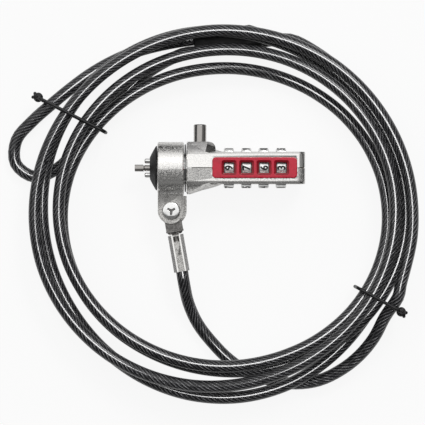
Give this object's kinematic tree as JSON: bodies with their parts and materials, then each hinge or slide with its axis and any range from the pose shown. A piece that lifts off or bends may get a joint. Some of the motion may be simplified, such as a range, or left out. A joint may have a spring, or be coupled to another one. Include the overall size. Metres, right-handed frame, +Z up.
{
  "type": "laptop cable lock",
  "caption": "Combination cable lock for a notebook's security slot: plated head with T-bar, swivel collar, number dials and push button, on a coiled coated steel cable with an eye.",
  "frame": {"origin": "on the surface the lock lies on, under the middle of the lock head with its clevis and crimp (the cable left out)", "axes": "+X along the lock head from the T-bar to the rear end, +Y towards the push button, +Z up, through the windows, square to the surface it lies on"},
  "size_m": [0.1468, 0.1369, 0.022],
  "materials": {
    "plated_cast": "satin nickel-coloured plating on cast zinc",
    "steel": "bright",
    "brass": "turned",
    "black_rubber": "matt",
    "red_plastic": "glossy",
    "dial_metal": "satin",
    "cable_jacket": "glossy, smoke-coloured and slightly see-through",
    "ferrule_black": "black coating",
    "tie_black": "plain",
    "washer_black": "plain"
  },
  "bodies": {
    "lock_body": {"housing_upper": "plated_cast", "housing_lower": "plated_cast", "housing_screw_1": "steel", "housing_screw_2": "steel", "housing_screw_3": "steel", "housing_screw_4": "steel", "window_bezel": "red_plastic", "nose_core": "steel", "nose_bumper": "black_rubber", "thrust_washer": "washer_black", "click_spring": "steel", "spindle_spring": "steel"},
    "collar": {"swivel_collar": "plated_cast", "pivot_screw": "steel"},
    "link": {"cable_link": "plated_cast", "crimp_sleeve": "plated_cast", "cable_tail": "cable_jacket", "cable_coil": "cable_jacket", "cable_eye": "cable_jacket", "eye_ferrule": "ferrule_black", "twist_tie_left": "tie_black", "twist_tie_right": "tie_black"},
    "button": {"push_button": "plated_cast"},
    "spindle": {"spindle": "brass"},
    "tbar": {"locking_bar": "steel", "cam_pin": "steel", "locking_bar_clip": "steel"},
    "dial_a": {"dial_1": "dial_metal", "code_ring_1": "brass"},
    "dial_b": {"dial_2": "dial_metal", "code_ring_2": "brass"},
    "dial_c": {"dial_3": "dial_metal", "code_ring_3": "brass"},
    "dial_d": {"dial_4": "dial_metal", "code_ring_4": "brass"},
    "reset": {"reset_screw": "brass"}
  },
  "joints": [
    {"name": "collar_swivel", "type": "hinge", "parent": "lock_body", "child": "collar", "pos_m": [-0.0176, 0.01098, 0.0094], "axis": [1, 0, 0], "continuous": true},
    {"name": "link_swing", "type": "hinge", "parent": "collar", "child": "link", "pos_m": [-0.0174, -0.00442, 0.0094], "axis": [0, 0, 1], "range_deg": [-35, 70]},
    {"name": "button_press", "type": "slide", "parent": "lock_body", "child": "button", "axis": [0, -1, 0], "range_m": [0, 0.003], "stiffness_N_per_m": 400, "springref_m": -0.003},
    {"name": "spindle_slide", "type": "slide", "parent": "lock_body", "child": "spindle", "axis": [1, 0, 0], "range_m": [0, 0.003], "deforming": ["spindle_spring"]},
    {"name": "tbar_turn", "type": "hinge", "parent": "lock_body", "child": "tbar", "pos_m": [0, 0.01098, 0.0094], "axis": [1, 0, 0], "range_deg": [0, 90]},
    {"name": "dial_a_turn", "type": "hinge", "parent": "lock_body", "child": "dial_a", "pos_m": [0.0033, 0.01098, 0.0094], "axis": [1, 0, 0], "continuous": true},
    {"name": "dial_b_turn", "type": "hinge", "parent": "lock_body", "child": "dial_b", "pos_m": [0.00954, 0.01098, 0.0094], "axis": [1, 0, 0], "continuous": true},
    {"name": "dial_c_turn", "type": "hinge", "parent": "lock_body", "child": "dial_c", "pos_m": [0.01578, 0.01098, 0.0094], "axis": [1, 0, 0], "continuous": true},
    {"name": "dial_d_turn", "type": "hinge", "parent": "lock_body", "child": "dial_d", "pos_m": [0.02202, 0.01098, 0.0094], "axis": [1, 0, 0], "continuous": true},
    {"name": "reset_turn", "type": "hinge", "parent": "lock_body", "child": "reset", "pos_m": [0.0286, 0.01098, 0.0094], "axis": [1, 0, 0], "range_deg": [0, 90]}
  ],
  "couplings": [
    {"joint": "spindle_slide", "follows": "button_press", "ratio": 1},
    {"joint": "tbar_turn", "follows": "button_press", "rad_per_m": 523.6}
  ]
}
